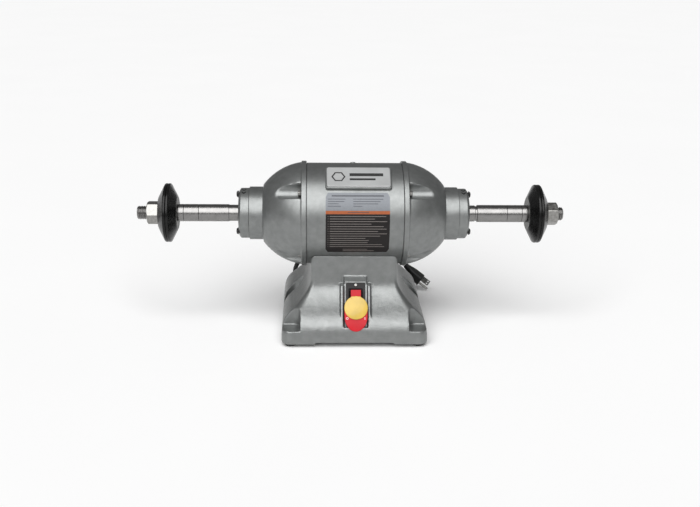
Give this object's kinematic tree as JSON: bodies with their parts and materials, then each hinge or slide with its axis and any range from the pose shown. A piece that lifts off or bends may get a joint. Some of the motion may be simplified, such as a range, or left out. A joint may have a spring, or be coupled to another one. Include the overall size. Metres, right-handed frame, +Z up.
{
  "type": "bench buffing machine",
  "caption": "Bench buffer: cast pedestal base, drum motor with domed ends, long threaded spindle with flanges and nuts, paddle switch with pull-out key, and power cord.",
  "frame": {"origin": "on the bench, under the middle of the spindle", "axes": "+X along the spindle to the operator's right, -Y towards the operator, +Z up"},
  "size_m": [0.7875, 0.3399, 0.3106],
  "materials": {
    "casting_paint": "silver-grey metallic paint over a rough casting",
    "polished_steel": "turned and polished",
    "bearing_steel": "ground",
    "zinc_steel": "zinc plated",
    "black_enamel": "gloss black with a machined hub face",
    "black_screw": "black oxide",
    "core_steel": "stacked laminations",
    "copper_winding": "varnished copper wire",
    "capacitor_can": "drawn can",
    "foot_rubber": "matt",
    "cord_rubber": "smooth black sheath",
    "tie_plastic": "matt",
    "switch_black": "moulded, fine texture",
    "paddle_red": "moulded, glossy",
    "key_yellow": "moulded, glossy",
    "badge_metal": "satin silver, blank",
    "data_label": "printed black with a silver and an orange band"
  },
  "bodies": {
    "housing": {"base_casting": "casting_paint", "base_cover": "casting_paint", "foot_front_left": "foot_rubber", "foot_front_right": "foot_rubber", "foot_rear_left": "foot_rubber", "foot_rear_right": "foot_rubber", "run_capacitor": "capacitor_can", "switch_plate": "switch_black", "switch_body": "switch_black", "switch_screw": "zinc_steel", "motor_frame": "casting_paint", "badge_plate": "badge_metal", "data_plate": "data_label", "top_screw": "casting_paint", "end_bell_left": "casting_paint", "end_bell_right": "casting_paint", "bearing_cap_left": "casting_paint", "bearing_cap_right": "casting_paint", "cap_screw_left_1": "black_screw", "cap_screw_left_2": "black_screw", "cap_screw_left_3": "black_screw", "cap_screw_right_1": "black_screw", "cap_screw_right_2": "black_screw", "cap_screw_right_3": "black_screw", "tie_bolt_1": "zinc_steel", "tie_bolt_2": "zinc_steel", "tie_bolt_3": "zinc_steel", "tie_bolt_4": "zinc_steel", "bearing_outer_race_left": "bearing_steel", "bearing_outer_race_right": "bearing_steel", "stator_winding_left": "copper_winding", "stator_winding_right": "copper_winding", "stator_core": "core_steel", "strain_relief": "cord_rubber", "cord_lead": "cord_rubber", "cord_hank": "cord_rubber", "cord_tie": "tie_plastic", "cord_tail": "cord_rubber", "plug": "cord_rubber"},
    "rotor": {"shaft": "polished_steel", "rotor_core": "core_steel", "bearing_inner_race_left": "bearing_steel", "bearing_inner_race_right": "bearing_steel", "spacer_sleeve_left_1": "polished_steel", "spacer_sleeve_left_2": "polished_steel", "spacer_sleeve_left_3": "polished_steel", "spacer_sleeve_right_1": "polished_steel", "spacer_sleeve_right_2": "polished_steel", "spacer_sleeve_right_3": "polished_steel", "inner_flange_left": "black_enamel", "inner_flange_right": "black_enamel", "outer_flange_left": "black_enamel", "outer_flange_right": "black_enamel", "arbor_nut_left": "zinc_steel", "arbor_nut_right": "zinc_steel"},
    "cage_left": {"bearing_balls_left": "bearing_steel"},
    "cage_right": {"bearing_balls_right": "bearing_steel"},
    "paddle": {"switch_paddle": "paddle_red"},
    "key": {"safety_key": "key_yellow"}
  },
  "joints": [
    {"name": "shaft_spin", "type": "hinge", "parent": "housing", "child": "rotor", "pos_m": [0, 0, 0.214], "axis": [1, 0, 0], "continuous": true},
    {"name": "cage_spin_left", "type": "hinge", "parent": "housing", "child": "cage_left", "pos_m": [-0.182, 0, 0.214], "axis": [1, 0, 0], "continuous": true},
    {"name": "cage_spin_right", "type": "hinge", "parent": "housing", "child": "cage_right", "pos_m": [0.182, 0, 0.214], "axis": [1, 0, 0], "continuous": true},
    {"name": "paddle_tilt", "type": "hinge", "parent": "housing", "child": "paddle", "pos_m": [0.002, -0.09322, 0.09155], "axis": [-1, 0, 0], "range_deg": [0, 35]},
    {"name": "key_pull", "type": "slide", "parent": "paddle", "child": "key", "axis": [0, -0.8829, 0.4695], "range_m": [0, 0.02]}
  ],
  "couplings": [
    {"joint": "cage_spin_left", "follows": "shaft_spin", "ratio": 0.414},
    {"joint": "cage_spin_right", "follows": "shaft_spin", "ratio": 0.414}
  ]
}
